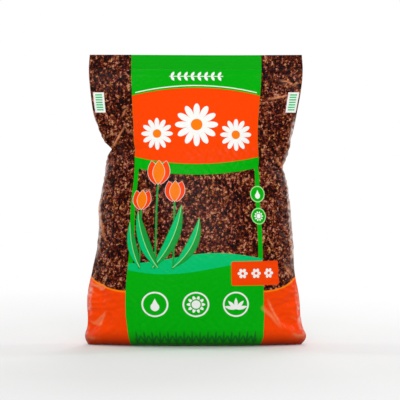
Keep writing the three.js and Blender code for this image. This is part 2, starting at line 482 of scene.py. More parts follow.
FOLDS = (
    Fold((-139, 325), (-114, 369), 2.6, 3.2, 1.0, bow=-2.5),
    Fold((-114, 354), (-98, 343), 1.2, 3.5, 0.4, bow=2),
    Fold((-150, 340), (-128, 352), 1.6, 3.5, 0.08, bow=2),
    Fold((-121, 376), (-113, 393), 1.2, 2.6, 0.7),
    Fold((148, 291), (131, 312), 2.2, 3.0, 0.9, bow=2),
    Fold((142, 302), (117, 346), 1.2, 4.0, 0.05, bow=-4),
    Fold((119, 407), (162, 417), 1.4, 2.4, 1.0, bow=-2.5),
    Fold((139, 438), (171, 424), 1.4, 2.4, 1.0, bow=2.5),
    Fold((-158, 240), (-145, 164), 2.2, 3.0, 0.9, bow=-3.5, fan=-6),
    Fold((-166, 196), (-153, 148), 1.2, 3.0, 0.35, bow=-3),
    Fold((-158, 31), (-148, 58), 3.2, 5.0, 0.9, bow=-1, fan=14),
    Fold((-155, 116), (-156, 22), -4.0, 7.0, 0.0, bow=1),
    Fold((-174, 40), (-156, 34), 1.5, 3.5, 0.3, bow=-2),
    Fold((-153, 90), (-172, 101), 3.0, 4.0, 0.95, bow=-2, fan=-8),
    Fold((117, 79), (144, 27), 1.8, 2.8, 0.9, bow=-1.5),
    Fold((107, 64), (142, 26), 1.3, 2.4, 0.8, bow=2, fan=6),
    Fold((175, 32), (153, 48), 2.0, 4.0, 0.35, bow=-3),
    Fold((181, 14), (156, 23), 3.4, 3.2, 0.2, bow=2.5),
    Fold((-181, 15), (-162, 12), 2.4, 3.2, 0.15, bow=-1.5),
    Fold((-176, 96), (-156, 82), 1.2, 3.0, 0.3, bow=-3),
    Fold((155, 117), (143, 138), 1.8, 3.0, 0.8, fan=-5),
    Fold((163, 158), (147, 178), 1.2, 3.0, 0.35, bow=-2),
    Fold((157, 240), (140, 222), 1.5, 3.0, 0.4, bow=2),
    Fold((-158, 288), (-138, 268), 1.4, 3.2, 0.35, bow=-2.5),
    Fold((-141, 326), (-104, 356), 2.4, 3.5, 0.6, bow=-3, wall=Wall.BACK),
    Fold((-150, 300), (-112, 290), 1.6, 4.0, 0.3, bow=4, wall=Wall.BACK),
    Fold((148, 292), (112, 330), 2.4, 3.5, 0.6, bow=3, wall=Wall.BACK),
    Fold((150, 270), (120, 262), 1.4, 3.2, 0.35, bow=-3, wall=Wall.BACK),
    Fold((-172, 60), (-136, 96), 1.8, 4.0, 0.45, bow=4, fan=-8, wall=Wall.BACK),
    Fold((174, 26), (138, 64), 2.2, 4.5, 0.45, bow=-4, wall=Wall.BACK),
    Fold((-176, 24), (-146, 40), 2.0, 4.0, 0.35, bow=-3, wall=Wall.BACK),
    Fold((-60, 430), (-20, 396), 0.9, 3.5, 0.3, bow=4, wall=Wall.BACK),
    Fold((110, 420), (150, 402), 1.2, 2.6, 0.6, bow=3, wall=Wall.BACK),
    Fold((-160, 200), (-138, 172), 1.4, 3.0, 0.5, bow=-3, fan=-5, wall=Wall.BACK),
    Fold((158, 190), (136, 176), 1.4, 3.0, 0.4, bow=2.5, wall=Wall.BACK),
)


@dataclass
class Patch:
    """A grid of point numbers, with the place of each point on the film's flat map."""

    index: Array
    across: Array
    up: Array

    def add_to(self, faces: list[list[int]], corners: list[list[float]]) -> None:
        """Adds the patch's faces, and the place of each corner on the flat map.

        Args:
            faces: The point numbers of each face so far.
            corners: The flat place of each corner of those faces.
        """
        places = np.stack(np.broadcast_arrays(self.across, self.up), axis=2)
        turn = ((0, 0), (0, 1), (1, 1), (1, 0))
        rows, columns = (size - 1 for size in self.index.shape)
        cells = [np.s_[row : row + rows, column : column + columns] for row, column in turn]
        quads = np.stack([self.index[cell] for cell in cells], axis=2).reshape(-1, 4).tolist()
        spots = np.stack([places[cell] for cell in cells], axis=2).reshape(-1, 4, 2).tolist()
        for quad, spot in zip(quads, spots):
            kept = [corner for corner in range(4) if quad[corner] != quad[corner - 1]]
            faces.append([quad[corner] for corner in kept])
            corners.extend(spot[corner] for corner in kept)


@dataclass
class FilmTube:
    """The film of the bag: a tube, closed by a weld along the top and tucked under at the base."""

    solid: PackedSolid
    grid: FilmGrid = field(default_factory=FilmGrid)
    pockets: tuple[Pocket, ...] = (
        Pocket(side=-1, height=0.324, depth=0.014, reach=0.026),
        Pocket(side=1, height=0.293, depth=0.013, reach=0.030),
    )
    cut_margin: float = 0.0003
    weld_gap: float = 0.0003
    weld_closes: Span = (-0.008, 0.001)
    base_rows: int = 8
    weld_detail: int = 4
    calm_reach: float = 0.022
    calm_middle: float = 0.45
    measured_middle: float = 0.06
    # Sharp ridges are painted pale: whitened ink, partly a painted highlight.
    pale_ridges_from: Span = (0.00015, 0.0005)
    ridge_whitening_and_highlight: float = 0.5
    ridge_smoothings: int = 2
    label_without_pale_ridges: Span = (0.55, 0.68)
    top_strip: Span = (0.002, 0.004)
    map_margin: Span = (0.01, 0.12)

    def section(self, height: float) -> tuple[Array, Array]:
        """Cuts both walls at a height.

        Args:
            height: The height above the floor, in metres.

        Returns:
            The paths of the front wall and the back wall, from the left tuck to the right one.
        """
        level = float(np.clip(height, self.cut_margin, self.grid.height - self.cut_margin))
        walls = [self.solid.cut(level, wall) for wall in Wall]
        ends = []
        for pocket in self.pockets:
            tip = 0 if pocket.side < 0 else -1
            middle = 0.5 * (walls[0][tip] + walls[1][tip])
            middle[0] -= pocket.side * pocket.inward(height)
            ends.append(middle)
        front, back = (np.vstack((ends[0], wall, ends[1])) for wall in walls)
        return front, back

    def spread(self, paths: tuple[Array, ...]) -> Array:
        """Places the columns on one wall.

        The print stays calm in the middle of the wall, and only its edges follow the tucks.

        Args:
            paths: The wall's path at each row.

        Returns:
            The points, row by row.
        """
        alongs = [travelled(path) for path in paths]
        middles = [np.interp(0.0, path[1:-1, 0], along[1:-1]) for path, along in zip(paths, alongs)]
        own = np.array([(middle, along[-1] - middle) for middle, along in zip(middles, alongs)])
        levels = self.grid.levels()
        weight = hump(levels[:, None] - levels[None, :], 0.0, self.calm_reach)
        calm = (weight @ own) / weight.sum(axis=1, keepdims=True)
        place = np.linspace(-1.0, 1.0, self.grid.wall_columns + 1)
        side = (place > 0).astype(int)
        edge = smoothstep(self.calm_middle, 1.0, np.abs(place))
        rows = []
        for path, along, reach, even in zip(paths, alongs, own, calm):
            wanted = reach[0] + place * even[side] + np.sign(place) * edge * (reach - even)[side]
            rows.append(np.stack([np.interp(wanted, along, path[:, axis]) for axis in (0, 1)], axis=1))
        return np.array(rows)

    def laid(self) -> tuple[Array, Array]:
        """Lays the film on the solid.

        Returns:
            The points of the film, row by row, and those halfway between the walls.
        """
        levels = self.grid.levels()
        fronts, backs = zip(*(self.section(height) for height in levels))
        front, back = self.spread(fronts), self.spread(backs)
        front[:, [0, -1]] = 0.5 * (front[:, [0, -1]] + back[:, [0, -1]])
        flat_x = 0.5 * (front[:, :, 0] + back[:, :, 0])
        depths = []
        for paths in (fronts, backs):
            depths.append([np.interp(x, path[1:-1, 0], path[1:-1, 1]) for x, path in zip(flat_x, paths)])
        centre = np.stack((flat_x, 0.5 * (np.array(depths[0]) + np.array(depths[1]))), axis=2)
        ring = np.concatenate((front, back[:, -2:0:-1]), axis=1)
        middle = np.concatenate((centre, centre[:, -2:0:-1]), axis=1)
        high = np.broadcast_to(levels[:, None, None], (*ring.shape[:2], 1))
        net, middle = (np.concatenate((flat, high), axis=2) for flat in (ring, middle))
        closes = (self.grid.weld_foot + past for past in self.weld_closes)
        joined = smoothstep(*closes, levels)[:, None]
        gap = net[:, :, 1] - middle[:, :, 1]
        pressed = np.clip(gap, -self.weld_gap, self.weld_gap)
        net[:, :, 1] = middle[:, :, 1] + gap + (pressed - gap) * joined
        return net, middle

    def finer_rows(self) -> Array:
        """Numbers the rows of the fine net.

        Returns:
            The row numbers in the coarse net: two steps to a row, and more in the weld.
        """
        foot = len(self.grid.levels()) - 1 - self.grid.weld_rows
        body = np.arange(2 * foot) / 2
        weld = foot + np.arange(self.grid.weld_rows * self.weld_detail + 1) / self.weld_detail
        return np.concatenate((body, weld))

    def finer(self, net: Array) -> Array:
        """Makes the fine net.

        Args:
            net: The points of the coarse net.

        Returns:
            The points at the fine rows and at twice as many columns.
        """
        turned = np.swapaxes(between(net, self.finer_rows()), 0, 1)
        looped = np.concatenate((turned[-2:], turned, turned[:3]))
        wanted = 2 + np.arange(2 * self.grid.around) / 2
        return np.swapaxes(between(looped, wanted), 0, 1)

    def film_height(self, net: Array) -> Array:
        """Measures the film along the middle of the walls.

        Args:
            net: The points of the coarse net.

        Returns:
            The place of each row up the film.
        """
        central = np.abs(self.grid.across(self.grid.around)) < self.measured_middle
        steps = np.linalg.norm(np.diff(net[:, central], axis=0), axis=2).mean(axis=1)
        return np.concatenate(([0.0], np.cumsum(steps)))

    def build(self) -> bpy.types.Object:
        """Makes the film's mesh.

        Returns:
            The film, with its flat coordinates as an attribute.
        """
        net, middle = self.laid()
        up = between(self.film_height(net), self.finer_rows())
        relaxed = FilmRelaxation(net, middle, self.grid).run()
        fine, pale = self.folded(self.finer(relaxed))
        log.info("film: %.1f mm from the foot of the wall to the top edge", up[-1] / MM)
        return self.mesh(fine, up, pale)

    def folded(self, net: Array) -> tuple[Array, Array]:
        """Adds the sharp folds to the fine net.

        Args:
            net: The points of the fine net.

        Returns:
            The folded net, and how pale the print is at each point, from 0 to 1.
        """
        rows, columns = net.shape[:2]
        out = outward(net)
        front = np.arange(columns)[None, :] <= columns // 2
        rise, pale = np.zeros((rows, columns)), np.zeros((rows, columns))
        for fold in FOLDS:
            on_wall = front if fold.wall is Wall.FRONT else ~front
            height, crest_whitening_and_highlight = fold.shape(net)
            rise += height * on_wall
            pale = np.maximum(pale, crest_whitening_and_highlight * on_wall)
        net = net + out * rise[:, :, None]
        level = net - 0.25 * (
            np.roll(net, 1, axis=1)
            + np.roll(net, -1, axis=1)
            + np.concatenate((net[:1], net[:-1]))
            + np.concatenate((net[1:], net[-1:]))
        )
        ridge = np.einsum("ijk,ijk->ij", level, out)
        for _ in range(self.ridge_smoothings):
            beside = np.roll(ridge, 1, axis=1) + np.roll(ridge, -1, axis=1)
            beside[1:-1] += ridge[:-2] + ridge[2:]
            beside[[0, -1]] *= 2.0
            ridge = 0.5 * ridge + 0.125 * beside
        turned = np.abs(np.arange(columns) / (columns // 2) - 1.0)
        beside_label = smoothstep(*self.label_without_pale_ridges, np.abs(2.0 * turned - 1.0))
        # Sharp ridges beside the label are painted pale: whitened ink, partly a painted highlight.
        whitened_and_lit_ridges = smoothstep(*self.pale_ridges_from, ridge) * beside_label
        return net, np.clip(pale + self.ridge_whitening_and_highlight * whitened_and_lit_ridges, 0.0, 1.0)

    def mesh(self, net: Array, up: Array, pale: Array) -> bpy.types.Object:
        """Joins the fine net into one closed mesh.

        Args:
            net: The points of the fine net, row by row.
            up: The place of each row up the film.
            pale: How pale the print is at each point.

        Returns:
            The mesh object.
        """
        rows, columns = net.shape[:2]
        half, middle = columns // 2, self.base_rows
        index = np.arange(rows * columns).reshape(rows, columns)
        ring = np.concatenate((index, index[:, :1]), axis=1)
        place = np.arange(columns + 1) * (2 * self.grid.film_width / columns)
        top = np.stack((index[-1, : half + 1], ring[-1, half:][::-1]))
        strip = up[-1] + np.array(self.top_strip)[:, None]
        base_points, base_film, foot = self.base(net, index)
        below = base_film[:, :, 1]
        faces, corners = [], []
        for patch in (
            Patch(ring, place, up[:, None]),
            Patch(top, place[: half + 1], strip),
            Patch(foot[: middle + 1][::-1], place[: half + 1], below[: middle + 1][::-1]),
            Patch(foot[middle:][::-1], place[half:][::-1], below[middle:][::-1]),
        ):
            patch.add_to(faces, corners)
        mesh = bpy.data.meshes.new("printed_film")
        mesh.from_pydata(np.vstack((net.reshape(-1, 3), base_points)).tolist(), [], faces)
        size = 2.0 * (self.grid.film_width + self.map_margin[0])
        flat_map = mesh.uv_layers.new(name="OFBake")
        flat_map.data.foreach_set("uv", ((np.array(corners) + self.map_margin) / size).ravel())
        film = np.vstack((self.flat(columns, up), base_film[1:-1, 1:-1].reshape(-1, 3)))
        mesh.attributes.new("film", "FLOAT_VECTOR", "POINT").data.foreach_set("vector", film.ravel())
        whitening_and_highlight = np.concatenate((pale.ravel(), np.zeros(len(base_points))))
        mesh.attributes.new("pale", "FLOAT", "POINT").data.foreach_set("value", whitening_and_highlight)
        mesh.polygons.foreach_set("use_smooth", np.ones(len(mesh.polygons), dtype=bool))
        mesh.update()
        return placed("printed_film", mesh)

    def flat(self, columns: int, up: Array) -> Array:
        """Finds the flat coordinates of the fine net.

        Args:
            columns: The columns of the fine net.
            up: The place of each row up the film.

        Returns:
            Across, up and inward from the film's edge, in metres, for each point. Inward is negative on the
            front wall and positive on the back wall.
        """
        across = self.grid.across(columns)
        side = np.where(np.arange(columns) <= columns // 2, -1.0, 1.0)
        inward = (self.grid.film_width / 2 - np.abs(across)) * side
        return np.stack(np.broadcast_arrays(across, up[:, None], inward), axis=2).reshape(-1, 3)

    def base(self, net: Array, index: Array) -> tuple[Array, Array, Array]:
        """Lays the flat base, from the foot of the front wall to the foot of the back wall.

        Args:
            net: The points of the fine net, row by row.
            index: The point numbers of the net.

        Returns:
            The added points, and the flat coordinates and the point numbers of all the base's rows.
        """
        columns = net.shape[1]
        half, count = columns // 2, 2 * self.base_rows
        column = np.arange(half + 1)
        back_column = (columns - column) % columns
        front, back = net[0][column], net[0][back_column]
        share = (np.arange(count + 1) / count)[:, None]
        points = front[None] + (back - front)[None] * share[:, :, None]
        across = self.grid.across(columns)[: half + 1]
        from_wall = np.minimum(share, 1 - share) * np.linalg.norm(back - front, axis=1)[None, :]
        side = np.where(share <= 0.5, -1.0, 1.0)
        inward = (self.grid.film_width / 2 - np.abs(across))[None, :] * side
        film = np.stack(np.broadcast_arrays(across, -from_wall, inward), axis=2)
        foot = np.empty((count + 1, half + 1), dtype=int)
        foot[:] = index[0][column]
        foot[-1] = index[0][back_column]
        foot[1:-1, 1:-1] = index.size + np.arange((count - 1) * (half - 1)).reshape(count - 1, half - 1)
        return points[1:-1, 1:-1].reshape(-1, 3), film, foot


def linear(red: float, green: float, blue: float) -> Colour:
    """Turns a colour into the renderer's own numbers.

    Args:
        red: The red of the colour on screen, from 0 to 255.
        green: Its green.
        blue: Its blue.

    Returns:
        The linear red, green and blue, from 0 to 1, and a full alpha.
    """
    levels = (value / 255.0 for value in (red, green, blue))
    straight = (v / 12.92 if v <= 0.04045 else ((v + 0.055) / 1.055) ** 2.4 for v in levels)
    return (*straight, 1.0)


class Tint(Enum):
    """A colour as it looks on screen, with its parts from 0 to 255."""

    @property
    def linear(self) -> Colour:
        """The colour in the renderer's linear numbers."""
        return linear(*self.value)


class Ink(Tint):
    """The inks of the print."""

    GREEN = (0, 176, 10)
    DEEP_GREEN = (0, 128, 34)
    LEAF_GREEN = (24, 158, 62)
    TEAL_GREEN = (0, 198, 112)
    PALE_GREEN = (170, 232, 150)
    ORANGE = (255, 70, 0)
    WARM_ORANGE = (255, 128, 10)
    WHITE = (250, 250, 246)


class Shade(Tint):
    """Colours painted on the film: whitened creases that are partly a painted highlight, a painted sheen
    along its edges, and a painted shade at its foot.
    """

    # Pale creases: whitened ink, partly a painted highlight.
    WHITENED_CREASE_AND_HIGHLIGHT = (246, 156, 102)
    # Painted sheen along the film's edges.
    EDGE_SHEEN = (230, 202, 190)
    # Painted shade at the foot, where the film turns under.
    PAINTED_SHADE_BELOW = (30, 14, 8)


class Term:
    """A number in a node tree that can be reckoned with."""

    def __init__(self, tree: Tree, socket: Socket) -> None:
        """Keeps the tree and the socket that gives the number."""
        self.tree = tree
        self.socket = socket

    def reckon(self, operation: str, *others: Term | float, clamp: bool = False) -> Term:
        """Adds one step of arithmetic.

        Args:
            operation: The name of the step.
            others: The other numbers that go into it.
            clamp: Whether the result is kept between 0 and 1.

        Returns:
            The result.
        """
        inputs = dict(enumerate((self, *others)))
        node = add_node(self.tree, "Math", inputs, operation=operation, use_clamp=clamp)
        return Term(self.tree, node.outputs[0])

    def __add__(self, other: Term | float) -> Term:
        """Sum."""
        return self.reckon("ADD", other)

    def __sub__(self, other: Term | float) -> Term:
        """Difference."""
        return self.reckon("SUBTRACT", other)

    def __mul__(self, other: Term | float) -> Term:
        """Product."""
        return self.reckon("MULTIPLY", other)

    def __truediv__(self, other: Term | float) -> Term:
        """Quotient."""
        return self.reckon("DIVIDE", other)

    def __neg__(self) -> Term:
        """The number with its sign turned."""
        return self.reckon("MULTIPLY", -1)

    def __abs__(self) -> Term:
        """Size without sign."""
        return self.reckon("ABSOLUTE")

    def sine(self) -> Term:
        """Sine."""
        return self.reckon("SINE")

    def root(self) -> Term:
        """Square root."""
        return self.reckon("SQRT")

    def wrapped(self, pitch: float) -> Term:
        """Distance from the middle of the repeat that the number falls in."""
        return self.reckon("FLOORED_MODULO", pitch) - pitch / 2

    def either(self, other: Term | float) -> Term:
        """The smaller: joins two shapes."""
        return self.reckon("MINIMUM", other)

    def both(self, other: Term | float) -> Term:
        """The larger: keeps what two shapes share."""
        return self.reckon("MAXIMUM", other)

    def ramp(self, low: float, high: float) -> Term:
        """Rises from 0 at low to 1 at high."""
        return (self - low).reckon("MULTIPLY", 1.0 / (high - low), clamp=True)


def add_node(tree: Tree, kind: str, inputs: Inputs | None = None, **settings: object) -> Node:
    """Adds a node and feeds it.

    Args:
        tree: The node tree.
        kind: The node's kind, without the word that starts the names of all shader nodes.
        inputs: What goes into each input: a Term or a socket to link, or a value to set.
        settings: The node's own settings, by name.

    Returns:
        The node.
    """
    node = tree.nodes.new("ShaderNode" + kind)
    for name, value in settings.items():
        setattr(node, name, value)
    for name, value in (inputs or {}).items():
        source = value.socket if isinstance(value, Term) else value
        if isinstance(source, Socket):
            tree.links.new(source, node.inputs[name])
        else:
            node.inputs[name].default_value = source
    return node


def mixed(tree: Tree, share: Term, first: Socket, second: Socket | Colour) -> Socket:
    """Mixes two colours: the first where the share is 0, and the second where it is 1."""
    return add_node(tree, "Mix", {0: share, 6: first, 7: second}, data_type="RGBA").outputs[2]


def cloud(tree: Tree, place: Socket, scale: float, detail: float) -> Term:
    """Soft unevenness from 0 to 1."""
    noise = add_node(tree, "TexNoise", {"Scale": scale, "Detail": detail, "Vector": place})
    return Term(tree, noise.outputs["Fac"])


def new_material(name: str, roughness: float, shine: float) -> tuple[bpy.types.Material, Node]:
    """Starts a material.

    Args:
        name: Its name.
        roughness: How rough the surface is.
        shine: How strongly it shines when seen straight on.

    Returns:
        The material and its surface shader.
    """
    material = bpy.data.materials.new(name)
    material.use_nodes = True
    shader = material.node_tree.nodes["Principled BSDF"]
    shader.inputs["Roughness"].default_value = roughness
    shader.inputs["Specular IOR Level"].default_value = shine
    return material, shader


@dataclass(frozen=True)
class PrintPlace:
    """A place on the print: millimetres across the wall and up the film.

    A distance from a shape is negative inside it.
    """

    x: Term
    z: Term

    def shifted(self, x: float, z: float) -> PrintPlace:
        """The place as seen from another origin."""
        return PrintPlace(self.x - x, self.z - z)

    def turned(self, degrees: float) -> PrintPlace:
        """Turns the axes anticlockwise.

        Args:
            degrees: The angle to turn them by.

        Returns:
            The place in the turned axes.
        """
        angle = math.radians(degrees)
        across, up = math.cos(angle), math.sin(angle)
        return PrintPlace(self.x * across + self.z * up, self.z * across - self.x * up)

    def radius(self) -> Term:
        """Distance from the origin."""
        return (self.x * self.x + self.z * self.z).root()

    def disc(self, x: float, z: float, radius: float) -> Term:
        """Distance from a disc."""
        return self.shifted(x, z).radius() - radius

    def box(self, x: float, z: float, half_width: float, half_height: float, corner: float = 0) -> Term:
        """Measures from a box.

        Args:
            x: The box's middle, across the wall.
            z: The box's middle, up the film.
            half_width: Half its width.
            half_height: Half its height.
            corner: The radius of its corners.

        Returns:
            The distance from the box.
        """
        near = self.shifted(x, z)
        across = abs(near.x) - (half_width - corner)
        up = abs(near.z) - (half_height - corner)
        if corner == 0:
            return across.both(up)
        outside = PrintPlace(across.both(0), up.both(0)).radius()
        return outside + across.both(up).either(0) - corner

    def rosette(self, petals: int, radius: float, waist: float, bluntness: float = 0.6) -> Term:
        """Measures from a round flower or star that stands on the origin.

        Args:
            petals: How many petals it has.
            radius: How far they reach.
            waist: The radius between two petals, as a share of their reach.
            bluntness: The petals' form: 1 is a plain wave, and less is blunter.

        Returns:
            The distance from the flower.
        """
        angle = self.z.reckon("ARCTAN2", self.x)
        lobes = abs((angle * (petals / 2)).reckon("COSINE"))
        return self.radius() - (lobes.reckon("POWER", bluntness) * (1.0 - waist) + waist) * radius


@dataclass(frozen=True)
class Leaf:
    """A pointed leaf or petal, by its foot, direction, size and bend."""

    x: float
    z: float
    degrees: float
    length: float
    width: float
    bend: float = 0

    def sides(self, place: PrintPlace) -> tuple[Term, Term]:
        """Measures from the leaf.

        Args:
            place: The place on the print.

        Returns:
            The distance from the leaf's outline, and the distance across its middle line.
        """
        near = place.shifted(self.x, self.z).turned(self.degrees)
        along = near.x / self.length
        belly = along * (-along + 1) * 4
        across = near.z - belly * self.bend
        return abs(across) - belly * (self.width / 2), across


@dataclass
class Picture:
    """A stack of colours, each laid over the ones before: the inks, then whitened creases, painted
    highlight, sheen and shade.
    """

    tree: Tree
    colour: Socket
    edge: float = 0.3

    def lay(self, mask: Term, tint: Tint) -> None:
        """Lays a colour where the mask is 1: an ink, or a colour painted on the film."""
        self.colour = mixed(self.tree, mask, self.colour, tint.linear)

    def fill(self, shape: Term, tint: Tint) -> None:
        """Prints an ink where the distance from a shape is inside it, with a soft printed edge."""
        self.lay(shape.ramp(self.edge, -self.edge), tint)


@dataclass(frozen=True)
class PeatGround:
    """The print of loose peat: crumbs, dark gaps and pale fibres.

    The place is in millimetres on the film, and scales are repeats to a millimetre.
    """

    tree: Tree
    place: Socket
    warp_scale: float = 0.28
    warp_reach: float = 9
    crumb: float = 0.18
    crumb_weight: float = 0.70
    fine_crumb: float = 0.42
    fine_weight: float = 0.45
    lightness: float = 0.47
    clump: float = 0.050
    clump_weight: float = 0.9
    grain: float = 0.22
    grain_weight: float = 2.2
    hollow: float = 0.13
    hollow_levels: Span = (0.46, 0.30)
    hollow_weight: float = 0.5
    pale_fibres: tuple[float, ...] = (25, 65, 130)
    pale_weight: float = 0.34
    dark_fibres: tuple[float, ...] = (45, 105)
    dark_weight: float = 0.30
    fibre_scale: Triple = (0.12, 0.46, 0.4)
    fibre_levels: Span = (0.60, 0.72)
    golden: Span = (0.52, 0.95)
    crumb_contrast: float = 0.65
    gap_depth: float = 0.6
    gap_level: float = 0.66
    red_shades: Shades = (
        (0.00, (12, 0, 0)),
        (0.20, (38, 0, 0)),
        (0.34, (66, 8, 0)),
        (0.48, (94, 27, 8)),
        (0.62, (120, 46, 25)),
        (0.80, (154, 85, 60)),
        (1.00, (196, 142, 116)),
    )
    gold_shades: Shades = (
        (0.00, (10, 0, 0)),
        (0.20, (38, 0, 0)),
        (0.34, (68, 12, 0)),
        (0.48, (100, 35, 3)),
        (0.62, (130, 57, 15)),
        (0.80, (168, 100, 48)),
        (1.00, (208, 154, 102)),
    )

    def colour(self) -> Socket:
        """Builds the peat's nodes.

        Returns:
            The peat's colour.
        """
        tree, place = self.tree, self.place
        warp = add_node(tree, "TexNoise", {"Scale": self.warp_scale, "Detail": 4, "Vector": place})
        inputs = {0: warp.outputs["Color"], 1: (self.warp_reach,) * 3, 2: place}
        bent = add_node(tree, "VectorMath", inputs, operation="MULTIPLY_ADD").outputs[0]
        coarse, hue = self.crumbs(bent, self.crumb)
        fine, _ = self.crumbs(bent, self.fine_crumb)
        level = coarse * self.crumb_weight + fine * self.fine_weight + self.lightness
        level = level + (cloud(tree, place, self.clump, detail=3) - 0.5) * self.clump_weight
        level = level + (cloud(tree, bent, self.grain, detail=4) - 0.5) * self.grain_weight
        hollows = cloud(tree, place, self.hollow, detail=3).ramp(*self.hollow_levels)
        level = level - hollows * self.hollow_weight
        for degrees in self.pale_fibres:
            level = level + self.fibres(place, degrees) * self.pale_weight
        for degrees in self.dark_fibres:
            level = level - self.fibres(bent, degrees) * self.dark_weight
        red, gold = (self.shaded(level, shades) for shades in (self.red_shades, self.gold_shades))
        return mixed(tree, hue.ramp(*self.golden), red, gold)

    def shaded(self, level: Term, shades: Shades) -> Socket:
        """Colours a level.

        Args:
            level: A number from 0 to 1.
            shades: The shades that it runs through, each with its place from 0 to 1.

        Returns:
            The colour.
        """
        ramp = add_node(self.tree, "ValToRGB", {0: level})
        elements = ramp.color_ramp.elements
        while len(elements) < len(shades):
            elements.new(0.5)
        for element, (position, shade) in zip(elements, shades):
            element.position = position
            element.color = linear(*shade)
        return ramp.outputs[0]

    def crumbs(self, place: Socket, scale: float) -> tuple[Term, Term]:
        """Scatters crumbs.

        Args:
            place: The place on the film.
            scale: How many crumbs there are to a millimetre.

        Returns:
            A level for each crumb, around 0 and darker in the gaps, and a random number for its hue.
        """
        inputs = {"Scale": scale, "Vector": place}
        cells = add_node(self.tree, "TexVoronoi", inputs, distance="MANHATTAN")
        parts = add_node(self.tree, "SeparateColor", {0: cells.outputs["Color"]})
        chance, hue = (Term(self.tree, socket) for socket in parts.outputs[:2])
        depth = Term(self.tree, cells.outputs["Distance"])
        darker = (-depth + self.gap_level) * self.gap_depth
        return (chance - 0.5) * self.crumb_contrast + darker, hue

    def fibres(self, place: Socket, degrees: float) -> Term:
        """Scatters thin fibres that lie mostly one way.

        Args:
            place: The place on the film.
            degrees: The way they lie.

        Returns:
            1 on a fibre and 0 beside it.
        """
        turn = (0, 0, math.radians(degrees))
        inputs = {"Rotation": turn, "Scale": self.fibre_scale, "Vector": place}
        lengthwise = add_node(self.tree, "Mapping", inputs).outputs[0]
        return cloud(self.tree, lengthwise, scale=1, detail=1).ramp(*self.fibre_levels)


@dataclass(frozen=True)
class Motif:
    """The middle and the size of a motif on the label, in millimetres."""

    x: float
    z: float
    size: float


@dataclass(frozen=True)
class Hill:
    """A printed hill, by where its wave starts, its length and height, and its own height."""

    start: float
    length: float
    wave: float
    top: float


